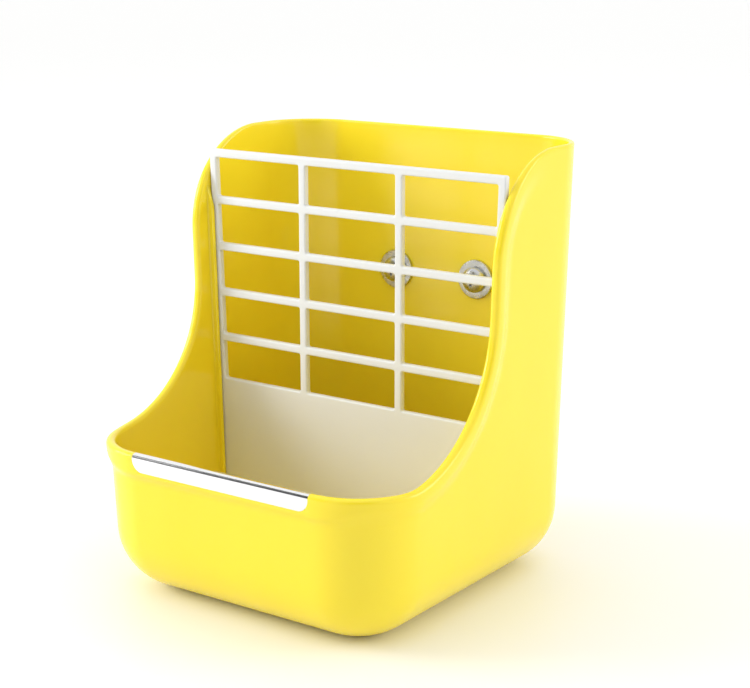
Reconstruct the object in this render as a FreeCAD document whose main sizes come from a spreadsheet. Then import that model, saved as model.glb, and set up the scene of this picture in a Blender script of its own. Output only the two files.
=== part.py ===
import FreeCAD, Part
import Sketcher
import math
import os

# Two-in-one feeder for rabbits and other small animals: a moulded shell whose low front is the pellet
# bowl and whose tall back is the hay hopper, a lift-out grille between the two, a steel anti-chew
# strip on the bowl's rim, and two clamp screws that hold the back wall to the wires of a cage.
# Millimetres. X runs to the right, Y to the back and Z up. The origin is the centre of the base.

DIMENSIONS = {
    # shell
    "body_height": 190.0,        # base to the level rim of the hopper
    "base_width": 150.8,
    "base_depth": 156.8,
    "side_lean": 5.5,            # how far each side leans out over the body's height
    "front_lean": 6.3,           # the same for the front
    "wall": 2.4,
    "bottom_radius": 27.0,
    "front_corner_radius": 30.5,
    "back_corner_radius": 28.0,
    # rim line, seen from the side
    "bowl_height": 66.4,         # top of the bowl's rim
    "side_edge_y": -2.2,         # upright front edge of each side wall
    "bowl_sweep_radius": 58.3,   # hollow curve from the bowl's rim up to the upright edge
    "shoulder_radius": 45.0,     # round shoulder from the upright edge to the top rim
    # thickened lip along the rim line
    "lip_out": 2.0,
    "lip_band": 7.4,
    "lip_round": 1.9,
    "lip_sink": 0.2,             # how deep in the wall the lip's tapered end finishes
    "rim_round": 1.1,            # rounding of the plain rim behind the lip
    # grille and its guides
    "grille_front_y": 7.4,
    "grille_depth": 3.1,
    "grille_top": 181.6,
    "grille_gap": 0.3,           # between the grille's edge and the wall
    "guide_gap": 0.35,           # between the grille's faces and the guides
    "guide_out": 2.6,
    "guide_thick": 1.8,
    "guide_top": 165.0,
    "bar_width": 3.7,
    "bar_height": 3.6,
    "bar_pitch": 51.1,
    "row_pitch": 21.1,
    "bar_round": 0.9,
    # anti-chew strip
    "strip_length": 91.6,
    "strip_thick": 0.5,
    "strip_front": 7.4,
    "strip_back": 5.0,
    "strip_bend": 1.1,
    "strip_corner": 5.2,
    # clamp screws
    "screw_spacing": 44.0,
    "screw_height": 122.0,
    "screw_radius": 3.0,
    "screw_length": 25.0,
    "screw_chamfer": 0.6,
    "screw_hole_gap": 0.25,
    "head_radius": 6.0,
    "head_height": 3.8,
    "cross_length": 5.6,
    "cross_width": 1.1,
    "cross_depth": 2.0,
    "inner_washer_radius": 9.0,
    "inner_washer_thick": 1.6,
    "washer_hole_gap": 0.3,
    "washer_chamfer": 0.3,
    "clamp_gap": 5.0,            # room for the cage wires, as stored
    "cage_washer_radius": 15.0,
    "cage_washer_thick": 2.0,
    "nut_base_radius": 6.5,
    "nut_top_radius": 4.8,
    "nut_height": 6.5,
    "nut_bore_gap": 0.06,
    "wing_reach": 15.5,
    "wing_height": 12.5,
    "wing_thick": 2.4,
    "wing_foot": 0.8,
    "wing_tip_radius": 2.6,
}

doc = FreeCAD.newDocument("hopper_feeder")
sheet = doc.addObject("Spreadsheet::Sheet", "Dimensions")
for row, (alias, number) in enumerate(DIMENSIONS.items(), start=1):
    sheet.set(f"A{row}", alias)
    sheet.set(f"B{row}", str(number))
    sheet.setAlias(f"B{row}", alias)
doc.recompute()


class Size:
    """A length, as its number and as the formula that ties it to the sheet."""

    def __init__(self, number, formula):
        self.number = number
        self.formula = formula

    def joined(self, sign, other, number):
        return Size(number, f"({self.formula} {sign} {other.formula})")

    def __add__(self, other):
        other = as_size(other)
        return self.joined("+", other, self.number + other.number)

    def __sub__(self, other):
        other = as_size(other)
        return self.joined("-", other, self.number - other.number)

    def __mul__(self, other):
        other = as_size(other)
        return self.joined("*", other, self.number * other.number)

    def __truediv__(self, other):
        other = as_size(other)
        return self.joined("/", other, self.number / other.number)

    def __neg__(self):
        return Size(-self.number, f"(0 - {self.formula})")


def as_size(value):
    return value if isinstance(value, Size) else Size(float(value), f"{float(value)}")


def dim(alias):
    """The named size of the sheet."""
    return Size(float(sheet.get(alias)), f"Dimensions.{alias}")


def bind(feature, **sizes):
    """Ties properties of a feature to formulas of the sheet."""
    for name, size in sizes.items():
        feature.setExpression(name, as_size(size).formula)


def vector(point):
    return FreeCAD.Vector(*[as_size(value).number for value in point])


# ---------------------------------------------------------------- sketches and features

def new_body(label):
    body = doc.addObject("PartDesign::Body", label)
    body.Label = label
    return body


def plane_of(body, role):
    """One of the body's own origin planes: XY_Plane, XZ_Plane or YZ_Plane."""
    return next(item for item in body.Origin.OriginFeatures if item.Role == role)


def new_sketch(body, name, role, height=None):
    """An empty sketch on an origin plane, moved along the plane's normal by height."""
    sketch = body.newObject("Sketcher::SketchObject", name)
    sketch.AttachmentSupport = [(plane_of(body, role), "")]
    sketch.MapMode = "FlatFace"
    if height is not None:
        sketch.setExpression("AttachmentOffset.Base.z", as_size(height).formula)
    doc.recompute()
    return sketch


def pin_point(sketch, edge, end, point, name):
    """Fixes one end of an edge at a formula's place, measured from the sketch's origin."""
    for kind, letter, value in (("DistanceX", "u", point[0]), ("DistanceY", "v", point[1])):
        size = as_size(value)
        index = sketch.addConstraint(Sketcher.Constraint(kind, -1, 1, edge, end, size.number))
        sketch.renameConstraint(index, f"{name}_{letter}")
        sketch.setExpression(f"Constraints.{name}_{letter}", size.formula)


def draw_outline(sketch, corners, name="corner"):
    """A closed outline. Each corner is (u, v), or (u, v, radius, (centre u, centre v)) where the edge
    that leaves it is an arc, of less than half a turn, about that centre."""
    count = len(corners)
    first = len(sketch.Geometry)
    ends = []
    for number, corner in enumerate(corners):
        start = vector((*corner[:2], 0))
        finish = vector((*corners[(number + 1) % count][:2], 0))
        if len(corner) == 2:
            sketch.addGeometry(Part.LineSegment(start, finish))
            ends.append((1, 2))
            continue
        centre = vector((*corner[3], 0))
        from_angle = math.atan2(start.y - centre.y, start.x - centre.x)
        to_angle = math.atan2(finish.y - centre.y, finish.x - centre.x)
        anticlockwise = (to_angle - from_angle) % (2 * math.pi) < math.pi
        circle = Part.Circle(centre, FreeCAD.Vector(0, 0, 1), as_size(corner[2]).number)
        angles = (from_angle, to_angle) if anticlockwise else (to_angle, from_angle)
        sketch.addGeometry(Part.ArcOfCircle(circle, *angles))
        ends.append((1, 2) if anticlockwise else (2, 1))
    for number, corner in enumerate(corners):
        edge = first + number
        before = first + (number - 1) % count
        sketch.addConstraint(Sketcher.Constraint("Coincident", before, ends[number - 1][1],
                                                 edge, ends[number][0]))
        pin_point(sketch, edge, ends[number][0], corner[:2], f"{name}{number}")
        if len(corner) > 2:
            pin_radius(sketch, edge, corner[2], f"{name}{number}")


def pin_radius(sketch, edge, radius, name):
    size = as_size(radius)
    index = sketch.addConstraint(Sketcher.Constraint("Radius", edge, size.number))
    sketch.renameConstraint(index, f"{name}_radius")
    sketch.setExpression(f"Constraints.{name}_radius", size.formula)


def pad(body, sketch, name, length, both_ways=False, backwards=False):
    feature = body.newObject("PartDesign::Pad", name)
    feature.Profile = sketch
    bind(feature, Length=length)
    feature.Midplane = both_ways
    feature.Reversed = backwards
    doc.recompute()
    return feature


def pocket(body, sketch, name, length=None, both_ways=True, backwards=False):
    """Cuts a sketch out of the body, all the way through when no length is given."""
    before = body.Shape.Volume
    feature = body.newObject("PartDesign::Pocket", name)
    feature.Profile = sketch
    feature.Midplane = both_ways
    feature.Reversed = backwards
    if length is None:
        feature.Type = "ThroughAll"
    else:
        bind(feature, Length=length)
    doc.recompute()
    if body.Shape.Volume >= before:
        raise RuntimeError(f"{name} cuts nothing")
    return feature


def revolve(body, sketch, name, axis_role):
    feature = body.newObject("PartDesign::Revolution", name)
    feature.Profile = sketch
    axis = next(item for item in body.Origin.OriginFeatures if item.Role == axis_role)
    feature.ReferenceAxis = (axis, [""])
    feature.Angle = 360.0
    doc.recompute()
    return feature


def edge_names(shape, wanted):
    return [f"Edge{number}" for number, edge in enumerate(shape.Edges, start=1) if wanted(edge)]


def round_edges(body, name, radius, wanted):
    """A fillet on every edge of the body that wanted() picks."""
    base = body.Tip
    names = edge_names(base.Shape, wanted)
    if not names:
        raise RuntimeError(f"{name} finds no edge")
    feature = body.newObject("PartDesign::Fillet", name)
    feature.Base = (base, names)
    bind(feature, Radius=radius)
    doc.recompute()
    return feature


def box_of(edge):
    return edge.BoundBox


def middle_of(edge):
    return edge.valueAt((edge.FirstParameter + edge.LastParameter) / 2)


def boolean(kind, label, first, second):
    feature = doc.addObject(kind, label)
    feature.Base = first
    feature.Tool = second
    doc.recompute()
    return feature


# ---------------------------------------------------------------- the shell's drafted walls

height = dim("body_height")
wall = dim("wall")
OVERSHOOT = 20.0        # how far cutting solids run past what they cut


def half_width(level, inset):
    """Half the shell's width at a level, with its wall set in by inset."""
    return dim("base_width") / 2 + dim("side_lean") * level / height - inset


def front_y(level, inset):
    return -(dim("base_depth") / 2) - dim("front_lean") * level / height + inset


def back_y(inset):
    return dim("base_depth") / 2 - inset


def drafted_block(label, inset, bottom, top, rounded_base=True):
    """A solid as wide and deep as the shell, set in by inset, with the shell's rounded corners."""
    body = new_body(label)
    wedge = body.newObject("PartDesign::AdditiveWedge", f"{label}_wedge")
    # the wedge grows along its own Y, so it is stood up: its Y becomes Z and its Z becomes -Y
    wedge.Placement = FreeCAD.Placement(FreeCAD.Vector(0, 0, 0),
                                        FreeCAD.Rotation(FreeCAD.Vector(1, 0, 0), 90))
    bind(wedge, Ymin=bottom, Ymax=top,
         Xmin=-half_width(bottom, inset), Xmax=half_width(bottom, inset),
         X2min=-half_width(top, inset), X2max=half_width(top, inset),
         Zmin=-back_y(inset), Zmax=-front_y(bottom, inset),
         Z2min=-back_y(inset), Z2max=-front_y(top, inset))
    doc.recompute()

    def upright(edge):
        return box_of(edge).ZLength > 0.9 * (as_size(top) - bottom).number

    round_edges(body, f"{label}_front_corners", dim("front_corner_radius") - inset,
                lambda edge: upright(edge) and box_of(edge).YMax < 0)
    round_edges(body, f"{label}_back_corners", dim("back_corner_radius") - inset,
                lambda edge: upright(edge) and box_of(edge).YMin > 0)
    if rounded_base:
        base_level = as_size(bottom).number
        round_edges(body, f"{label}_base_edge", dim("bottom_radius") - inset,
                    lambda edge: box_of(edge).ZMax < base_level + 0.01)
    return body


def rim_corners(inset):
    """The rim line's corners from the front to the level top, set in from the rim by inset."""
    edge_y = dim("side_edge_y") + inset
    sweep = dim("bowl_sweep_radius") + inset
    shoulder = dim("shoulder_radius") - inset
    sweep_centre = (dim("side_edge_y") - dim("bowl_sweep_radius"),
                    dim("bowl_height") + dim("bowl_sweep_radius"))
    shoulder_centre = (dim("side_edge_y") + dim("shoulder_radius"), height - dim("shoulder_radius"))
    corners = [(sweep_centre[0], dim("bowl_height") - inset, sweep, sweep_centre),
               (edge_y, sweep_centre[1]),
               (edge_y, shoulder_centre[1], shoulder, shoulder_centre)]
    return corners, (shoulder_centre[0], height - inset)


FAR = dim("base_depth")


def cut_above_rim(body, name):
    """Takes away what stands above the rim line."""
    curve, end = rim_corners(as_size(0))
    sketch = new_sketch(body, f"{name}_line", "YZ_Plane")
    draw_outline(sketch, [(-FAR, dim("bowl_height"))] + curve
                 + [end, (end[0], height + OVERSHOOT), (-FAR, height + OVERSHOOT)])
    pocket(body, sketch, name)


def cut_below_band(body, name, band):
    """Takes away what lies below the band along the rim line."""
    curve, end = rim_corners(band)
    sketch = new_sketch(body, f"{name}_line", "YZ_Plane")
    draw_outline(sketch, [(-FAR, dim("bowl_height") - band)] + curve
                 + [end, (FAR, height - band), (FAR, -as_size(OVERSHOOT)), (-FAR, -as_size(OVERSHOOT))])
    pocket(body, sketch, name)


outer = drafted_block("outer_wall", as_size(0), as_size(0), height)
cut_above_rim(outer, "outer_rim")
cavity = drafted_block("cavity", wall, wall, height + OVERSHOOT)

# the lip runs round the bowl and up both upright edges, and dies away over the shoulders
lip = drafted_block("lip", -dim("lip_out"), as_size(0), height, rounded_base=False)
cut_above_rim(lip, "lip_rim")
cut_below_band(lip, "lip_underside", dim("lip_band"))
lip_end_y = dim("side_edge_y") + dim("shoulder_radius")
lip_end_width = half_width(height - dim("lip_band"), as_size(0)) - dim("lip_sink")
lip_taper = dim("lip_out") / dim("shoulder_radius")
taper_reach = lip_end_y + FAR
taper = new_body("lip_taper")
taper_wedge = taper.newObject("PartDesign::AdditiveWedge", "lip_taper_wedge")
bind(taper_wedge, Ymin=-FAR, Ymax=lip_end_y, Zmin=0, Zmax=height, Z2min=0, Z2max=height,
     Xmin=-(lip_end_width + lip_taper * taper_reach), Xmax=lip_end_width + lip_taper * taper_reach,
     X2min=-lip_end_width, X2max=lip_end_width)
doc.recompute()
tapered_lip = boolean("Part::Common", "tapered_lip", lip, taper)

shell = boolean("Part::Cut", "hollow_shell", boolean("Part::Fuse", "solid_shell", outer, tapered_lip),
                cavity)


def rim_distance(point):
    """How far a point lies inside the rim line, seen from the side."""
    edge_y = dim("side_edge_y").number
    sweep = dim("bowl_sweep_radius").number
    shoulder = dim("shoulder_radius").number
    sweep_y, sweep_z = edge_y - sweep, dim("bowl_height").number + sweep
    shoulder_y, shoulder_z = edge_y + shoulder, height.number - shoulder
    if point.y <= sweep_y:
        return dim("bowl_height").number - point.z
    if point.z <= sweep_z and point.y < shoulder_y:
        return math.hypot(point.y - sweep_y, point.z - sweep_z) - sweep
    if point.y >= shoulder_y:
        return height.number - point.z
    if point.z >= shoulder_z:
        return shoulder - math.hypot(point.y - shoulder_y, point.z - shoulder_z)
    return point.y - edge_y


def is_sharp(shape, edge):
    """Whether the two faces at an edge meet at an angle."""
    faces = shape.ancestorsOfType(edge, Part.Face)
    if len(faces) != 2:
        return False
    middle = middle_of(edge)
    normals = [face.normalAt(*face.Surface.parameter(middle)) for face in faces]
    return normals[0].getAngle(normals[1]) > 0.3


def runs_along_rim(edge):
    """Whether an edge follows the rim line itself."""
    near = 0.03
    first, span = edge.FirstParameter, edge.LastParameter - edge.FirstParameter
    return all(abs(rim_distance(edge.valueAt(first + span * share))) < near for share in (0.02, 0.5, 0.98))


def rim_radius(edge):
    """The rim's rounding: full along the lip, and smaller the further the lip has died away."""
    backmost = max(vertex.Point.y for vertex in edge.Vertexes)
    gone = (backmost - dim("side_edge_y").number) / dim("shoulder_radius").number
    gone = min(max(gone, 0.0), 1.0)
    return dim("lip_round").number * (1 - gone) + dim("rim_round").number * gone


sharp_rim = shell
shell = doc.addObject("Part::Fillet", "rounded_rim")
shell.Base = sharp_rim
shell.Edges = [(number, rim_radius(edge), rim_radius(edge))
               for number, edge in enumerate(sharp_rim.Shape.Edges, start=1)
               if runs_along_rim(edge) and is_sharp(sharp_rim.Shape, edge)]
doc.recompute()


# ---------------------------------------------------------------- guides for the grille

def guide(label, front, back):
    """A low rib round the inside of the shell, across the floor and up both sides."""
    slab = doc.addObject("Part::Box", f"{label}_slab")
    reach = dim("base_width")
    bind(slab, Length=reach * 2, Width=back - front, Height=dim("guide_top"))
    slab.setExpression("Placement.Base.x", (-reach).formula)
    slab.setExpression("Placement.Base.y", front.formula)
    doc.recompute()
    rib = boolean("Part::Common", f"{label}_profile", slab, wall_core)
    return boolean("Part::Cut", label, rib, guide_room)


half_wall = wall / 2
guide_inset = wall + dim("guide_out")
wall_core = drafted_block("wall_core", half_wall, half_wall, height)
guide_room = drafted_block("guide_room", guide_inset, guide_inset, height + OVERSHOOT)
grille_back_y = dim("grille_front_y") + dim("grille_depth")
front_guide_back = dim("grille_front_y") - dim("guide_gap")
back_guide_front = grille_back_y + dim("guide_gap")
front_guide = guide("front_guide", front_guide_back - dim("guide_thick"), front_guide_back)
back_guide = guide("back_guide", back_guide_front, back_guide_front + dim("guide_thick"))
shell = boolean("Part::Fuse", "shell_with_front_guide", shell, front_guide)
shell = boolean("Part::Fuse", "shell_with_guides", shell, back_guide)


# ---------------------------------------------------------------- anti-chew strip

strip_front_y = front_y(dim("bowl_height"), -dim("lip_out"))
strip_inside_y = front_y(dim("bowl_height"), wall)
front_slope = dim("front_lean") / height


def strip_section():
    """The folded sheet's section, as corners in Y and Z: front flap, top and inner flap."""
    thick = dim("strip_thick")
    bend = dim("strip_bend")
    fold = bend - thick
    top = dim("bowl_height")
    front, inside = strip_front_y, strip_inside_y
    front_low = front + front_slope * dim("strip_front")
    inside_low = inside + front_slope * dim("strip_back")
    front_fold = front + front_slope * bend
    inside_fold = inside + front_slope * bend
    return [
        (front_low, top - dim("strip_front")),
        (front_low + thick, top - dim("strip_front")),
        (front_fold + thick, top - bend),
        (front_fold + bend, top - thick),
        (inside_fold - bend, top - thick),
        (inside_fold - thick, top - bend),
        (inside_low - thick, top - dim("strip_back")),
        (inside_low, top - dim("strip_back")),
        (inside_fold, top - bend, bend, (inside_fold - bend, top - bend)),
        (inside_fold - bend, top),
        (front_fold + bend, top, bend, (front_fold + bend, top - bend)),
        (front_fold, top - bend),
    ]


strip = new_body("anti_chew_strip")
strip_sketch = new_sketch(strip, "strip_section", "YZ_Plane")
draw_outline(strip_sketch, strip_section())
pad(strip, strip_sketch, "strip_fold", dim("strip_length"), both_ways=True)
flap_bottom = dim("bowl_height").number - dim("strip_front").number
round_edges(strip, "strip_corners", dim("strip_corner"),
            lambda edge: abs(middle_of(edge).z - flap_bottom) < 0.1 and box_of(edge).XLength < 0.01
            and middle_of(edge).y < strip_front_y.number + 1)
shell = boolean("Part::Cut", "shell_with_strip_seat", shell, strip)


# ---------------------------------------------------------------- clamp screws, washers and wing nuts

def turned(label, corners):
    """A turned piece about its own Y axis; corners are (radius, along Y)."""
    body = new_body(label)
    sketch = new_sketch(body, f"{label}_section", "XY_Plane")
    draw_outline(sketch, corners)
    revolve(body, sketch, f"{label}_turned", "Y_Axis")
    return body


def stand_at(body, across, along):
    """Puts a piece of the clamps on its screw's line."""
    body.setExpression("Placement.Base.x", as_size(across).formula)
    body.setExpression("Placement.Base.y", as_size(along).formula)
    body.setExpression("Placement.Base.z", dim("screw_height").formula)
    doc.recompute()


def screw(label):
    """A round-headed screw. Its head's seat is at Y = 0 and its thread runs towards +Y."""
    radius, head, rise = dim("screw_radius"), dim("head_radius"), dim("head_height")
    tip = dim("screw_chamfer")
    body = turned(label, [
        (0, -rise), (head - rise / 2, -rise), (head, -(rise / 3)), (head, 0), (radius, 0),
        (radius, dim("screw_length") - tip), (radius - tip, dim("screw_length")),
        (0, dim("screw_length"))])
    cross = new_sketch(body, f"{label}_cross", "XZ_Plane", height=rise)
    reach, half = dim("cross_length") / 2, dim("cross_width") / 2
    draw_outline(cross, [
        (-reach, -half), (-half, -half), (-half, -reach), (half, -reach), (half, -half), (reach, -half),
        (reach, half), (half, half), (half, reach), (-half, reach), (-half, half), (-reach, half)])
    pocket(body, cross, f"{label}_recess", dim("cross_depth"), both_ways=False)
    return body


def washer(label, radius, thick):
    """A flat ring from Y = 0 to its thickness."""
    hole = dim("screw_radius") + dim("washer_hole_gap")
    chamfer = dim("washer_chamfer")
    return turned(label, [
        (hole, 0), (radius - chamfer, 0), (radius, chamfer), (radius, thick - chamfer),
        (radius - chamfer, thick), (hole, thick)])


def wing_nut(label):
    """A wing nut whose seat is at Y = 0, with its wings in its XY plane."""
    bore = dim("screw_radius") + dim("nut_bore_gap")
    base, crown, rise = dim("nut_base_radius"), dim("nut_top_radius"), dim("nut_height")
    body = turned(label, [(bore, 0), (base, 0), (crown, rise), (bore, rise)])
    wings = new_sketch(body, f"{label}_wings", "XY_Plane")
    foot = dim("wing_foot")
    tip = dim("wing_tip_radius")
    reach, top = dim("wing_reach"), dim("wing_height")
    for side, name in ((1, "right"), (-1, "left")):
        draw_outline(wings, [
            ((bore + foot) * side, foot), (base * side, foot),
            ((reach - tip) * side, top - tip * 3),
            (reach * side, top - tip, tip, ((reach - tip) * side, top - tip)),
            ((reach - tip) * side, top), ((reach - tip * 2) * side, top),
            ((bore + foot) * side, rise - foot)], name)
    pad(body, wings, f"{label}_wing_pair", dim("wing_thick"), both_ways=True)
    return body


wall_inside_y = back_y(wall)
wall_outside_y = back_y(as_size(0))
inner_washer_y = wall_inside_y - dim("inner_washer_thick")
cage_washer_y = wall_outside_y + dim("clamp_gap")
nut_y = cage_washer_y + dim("cage_washer_thick")
clamp_pieces = []
for side, name in ((-1, "left"), (1, "right")):
    across = dim("screw_spacing") / 2 * side
    hole = doc.addObject("Part::Cylinder", f"screw_hole_{name}")
    bind(hole, Radius=dim("screw_radius") + dim("screw_hole_gap"), Height=wall * 4)
    hole.Placement.Rotation = FreeCAD.Rotation(FreeCAD.Vector(1, 0, 0), -90)
    stand_at(hole, across, wall_inside_y - wall)
    shell = boolean("Part::Cut", f"shell_drilled_{name}", shell, hole)

    clamp_screw = screw(f"clamp_screw_{name}")
    stand_at(clamp_screw, across, inner_washer_y)
    inner_washer = washer(f"inner_washer_{name}", dim("inner_washer_radius"), dim("inner_washer_thick"))
    stand_at(inner_washer, across, inner_washer_y)
    cage_washer = washer(f"cage_washer_{name}", dim("cage_washer_radius"), dim("cage_washer_thick"))
    stand_at(cage_washer, across, cage_washer_y)
    nut = wing_nut(f"wing_nut_{name}")
    stand_at(nut, across, nut_y)
    clamp_pieces += [clamp_screw, inner_washer, cage_washer, nut]

shell.Label = "body_shell"


# ---------------------------------------------------------------- hay grille

def grille_half(level, inset=0):
    """Half the grille's width at a level, set in from its own edge."""
    return half_width(level, wall + dim("grille_gap")) - inset


grille = new_body("hay_grille")
bar = dim("bar_width")
corner = dim("bottom_radius") - wall
foot_level = wall
corner_level = foot_level + corner
face = new_sketch(grille, "grille_outline", "XZ_Plane", height=-dim("grille_front_y"))
corner_half = grille_half(corner_level)
draw_outline(face, [
    (-(corner_half - corner), foot_level),
    (corner_half - corner, foot_level, corner, (corner_half - corner, corner_level)),
    (corner_half, corner_level), (grille_half(dim("grille_top")), dim("grille_top")),
    (-grille_half(dim("grille_top")), dim("grille_top")),
    (-corner_half, corner_level, corner, (-(corner_half - corner), corner_level))])
pad(grille, face, "grille_plate", dim("grille_depth"), backwards=True)

ROWS = 5
top_window = dim("grille_top") - bar
windows = new_sketch(grille, "window_outlines", "XZ_Plane", height=-dim("grille_front_y"))
for row in range(ROWS):
    window_top = top_window - dim("row_pitch") * row
    window_low = window_top - dim("row_pitch") + dim("bar_height")
    inner = (dim("bar_pitch") - bar) / 2
    outer_start = (dim("bar_pitch") + bar) / 2
    draw_outline(windows, [(-inner, window_low), (inner, window_low), (inner, window_top),
                           (-inner, window_top)], f"middle{row}_")
    for side, name in ((-1, "left"), (1, "right")):
        draw_outline(windows, [
            (outer_start * side, window_low), (grille_half(window_low, bar) * side, window_low),
            (grille_half(window_top, bar) * side, window_top), (outer_start * side, window_top)],
            f"{name}{row}_")
pocket(grille, windows, "grille_windows")
grille_faces = (dim("grille_front_y").number, grille_back_y.number)
round_edges(grille, "rounded_bars", dim("bar_round"),
            lambda edge: box_of(edge).YLength < 0.01 and min(abs(middle_of(edge).y - face_y)
                                                             for face_y in grille_faces) < 0.01
            and middle_of(edge).z > corner_level.number)


# ---------------------------------------------------------------- checks and export

NODES = [shell, strip, grille] + clamp_pieces
for item in doc.Objects:
    if "Invalid" in item.State or "Error" in item.State:
        raise RuntimeError(f"{item.Name} could not be built")
for node in NODES:
    if node.Shape.isNull() or not node.Shape.isValid() or not node.Shape.Solids:
        raise RuntimeError(f"{node.Label} has no valid solid")

os.makedirs("parts", exist_ok=True)
for node in NODES:
    node.Shape.exportStep(f"parts/{node.Label}.step")
    print(node.Label, len(node.Shape.Solids), "solid,", round(node.Shape.Volume / 1000, 3), "cm3")
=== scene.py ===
import math

import bmesh
import bpy
import numpy as np
from mathutils import Matrix, Vector


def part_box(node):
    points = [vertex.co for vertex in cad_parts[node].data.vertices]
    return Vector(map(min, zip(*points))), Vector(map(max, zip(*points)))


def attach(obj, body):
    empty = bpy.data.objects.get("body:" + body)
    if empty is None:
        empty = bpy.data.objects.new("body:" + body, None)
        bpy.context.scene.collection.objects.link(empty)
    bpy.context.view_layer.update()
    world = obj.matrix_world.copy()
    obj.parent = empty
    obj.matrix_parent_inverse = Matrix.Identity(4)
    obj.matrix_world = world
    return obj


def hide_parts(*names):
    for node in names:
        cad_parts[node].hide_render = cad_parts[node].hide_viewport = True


# The looks of a rabbit hopper feeder: moulded shell, lift-out grille, folded steel strip and two cage
# clamps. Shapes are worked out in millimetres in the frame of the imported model, and made in metres.

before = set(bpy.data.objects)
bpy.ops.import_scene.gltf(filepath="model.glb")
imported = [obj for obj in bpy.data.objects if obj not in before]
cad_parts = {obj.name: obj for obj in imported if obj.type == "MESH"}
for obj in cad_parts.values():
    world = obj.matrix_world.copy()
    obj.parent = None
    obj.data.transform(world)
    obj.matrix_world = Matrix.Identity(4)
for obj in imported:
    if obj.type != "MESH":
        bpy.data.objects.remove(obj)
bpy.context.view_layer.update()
MM = 0.001


def node_box(node):
    """The lowest and highest corners of a node of the frame, in millimetres."""
    low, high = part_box(node)
    return low / MM, high / MM


# ---------------------------------------------------------------- sizes, in millimetres

SHELL_HIGH = node_box("body_shell")[1]
STRIP_LOW, STRIP_HIGH = node_box("anti_chew_strip")
GRILLE_LOW, GRILLE_HIGH = node_box("hay_grille")

HEIGHT = SHELL_HIGH.z
HALF_DEPTH = SHELL_HIGH.y          # the back wall is upright
HALF_WIDTH = 75.4                  # at the base
SIDE_LEAN = 5.5                    # how far each side leans out over the height
FRONT_LEAN = 6.3
WALL = 2.4
BOTTOM_RADIUS = 27.0
FRONT_CORNER = 30.5
BACK_CORNER = 28.0

BOWL_HEIGHT = STRIP_HIGH.z
EDGE_Y = -2.2                      # upright front edge of each side wall
SWEEP_RADIUS = 58.3
SHOULDER_RADIUS = 45.0
SWEEP_CENTRE = (EDGE_Y - SWEEP_RADIUS, BOWL_HEIGHT + SWEEP_RADIUS)
SHOULDER_CENTRE = (EDGE_Y + SHOULDER_RADIUS, HEIGHT - SHOULDER_RADIUS)

LIP_OUT = 2.0
LIP_BAND = 8.0                     # depth of the middle of the lip's soft underside
LIP_SOFT = 5.5                     # half the height of that underside
STRIP_BAND = 10.2                  # the same two below the steel strip, which needs a flat seat
STRIP_SOFT = 2.8
LIP_ROUND = 1.9
RIM_ROUND = 1.1
BAND_END = 14.5                    # below this depth the wall is plain
TAPER_END = 182.6                  # level at which the tapering lip's end meets the wall
LIP_SINK = 0.2                     # how far inside the wall it ends

GUIDE_OUT = 2.6
GUIDE_THICK = 1.8
GUIDE_GAP = 0.35
GUIDE_TOP = 165.0
GUIDE_FOOT = 0.9                   # radius of the fillet at the guide's root
GUIDE_CREST = 0.55                 # rounding of its crest
GUIDE_ROOT = 0.4                   # how far inside the wall its section closes
GUIDE_SINK = 0.05                  # how much deeper the whole rib is set

STRIP_THICK = 0.45
STRIP_SEAT = 0.48                  # how deep the shell is set back under the strip
STRIP_PROUD = 0.02
STRIP_CORNER = 5.2
STRIP_INNER = 5.0                  # depth of the flap inside the bowl

BAR = 3.7
BAR_HEIGHT = 3.6
BAR_PITCH = 51.1
ROW_PITCH = 21.1
ROWS = 5
BAR_ROUND = 0.85
WINDOW_CORNER = 0.9
GRILLE_GAP = 0.3

SCREW_RADIUS = 3.0
SCREW_HOLE = 3.25
PITCH = 1.0
THREAD_DEPTH = 0.61
THREAD_FLAT = 0.14                 # share of the pitch that is crest, and that is root
THREAD_RUN_IN = 2.0                # length over which the thread deepens below the head
TIP_CHAMFER = 0.7
HEAD_RADIUS = 6.0
HEAD_RISE = 3.8
WASHER_GAP = 0.3                   # between a washer's hole and the screw
WASHER_SOFT = 0.38                 # rounding of the outer edge on one face
WASHER_CRISP = 0.15                # rounding of the other edges

NUT_BASE = 6.3
NUT_CROWN = 4.9
NUT_RISE = 6.5
NUT_BORE = 3.35
WING_TIP = 3.1
CAST_VOXEL = 0.32

DESCENT_LEAD = 12.0                # how far a mesh line holds its heading below the lip
RINGS_CENTRE_Y = -1.6              # the rings across the flat of the base gather about this Y
BASE_RINGS = (0.12, 0.3, 0.55, 0.8)     # where they lie on the way out to the base's curve


# ---------------------------------------------------------------- mesh helpers

def mesh_object(name, points, faces, smooth_angle=None):
    """An object from points in millimetres. Faces turn outwards, and edges sharper than the angle
    stay sharp."""
    mesh = bpy.data.meshes.new(name)
    mesh.from_pydata([tuple(np.asarray(point, float) * MM) for point in points], [], faces)
    piece = bpy.data.objects.new(name, mesh)
    bpy.context.scene.collection.objects.link(piece)
    finish_mesh(piece, smooth_angle)
    return piece


def finish_mesh(piece, smooth_angle=None):
    work = bmesh.new()
    work.from_mesh(piece.data)
    bmesh.ops.remove_doubles(work, verts=work.verts, dist=1e-6)
    bmesh.ops.recalc_face_normals(work, faces=work.faces)
    for face in work.faces:
        face.smooth = True
    if smooth_angle is not None:
        limit = math.radians(smooth_angle)
        for edge in work.edges:
            edge.smooth = not edge.is_manifold or edge.calc_face_angle(0) < limit
    work.to_mesh(piece.data)
    work.free()
    piece.data.update()


def grid_faces(rows, columns, closed):
    """Quads between rows of points, wrapped round when closed."""
    faces = []
    for row in range(rows - 1):
        for column in range(columns if closed else columns - 1):
            after = (column + 1) % columns
            faces.append((row * columns + column, row * columns + after,
                          (row + 1) * columns + after, (row + 1) * columns + column))
    return faces


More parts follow.
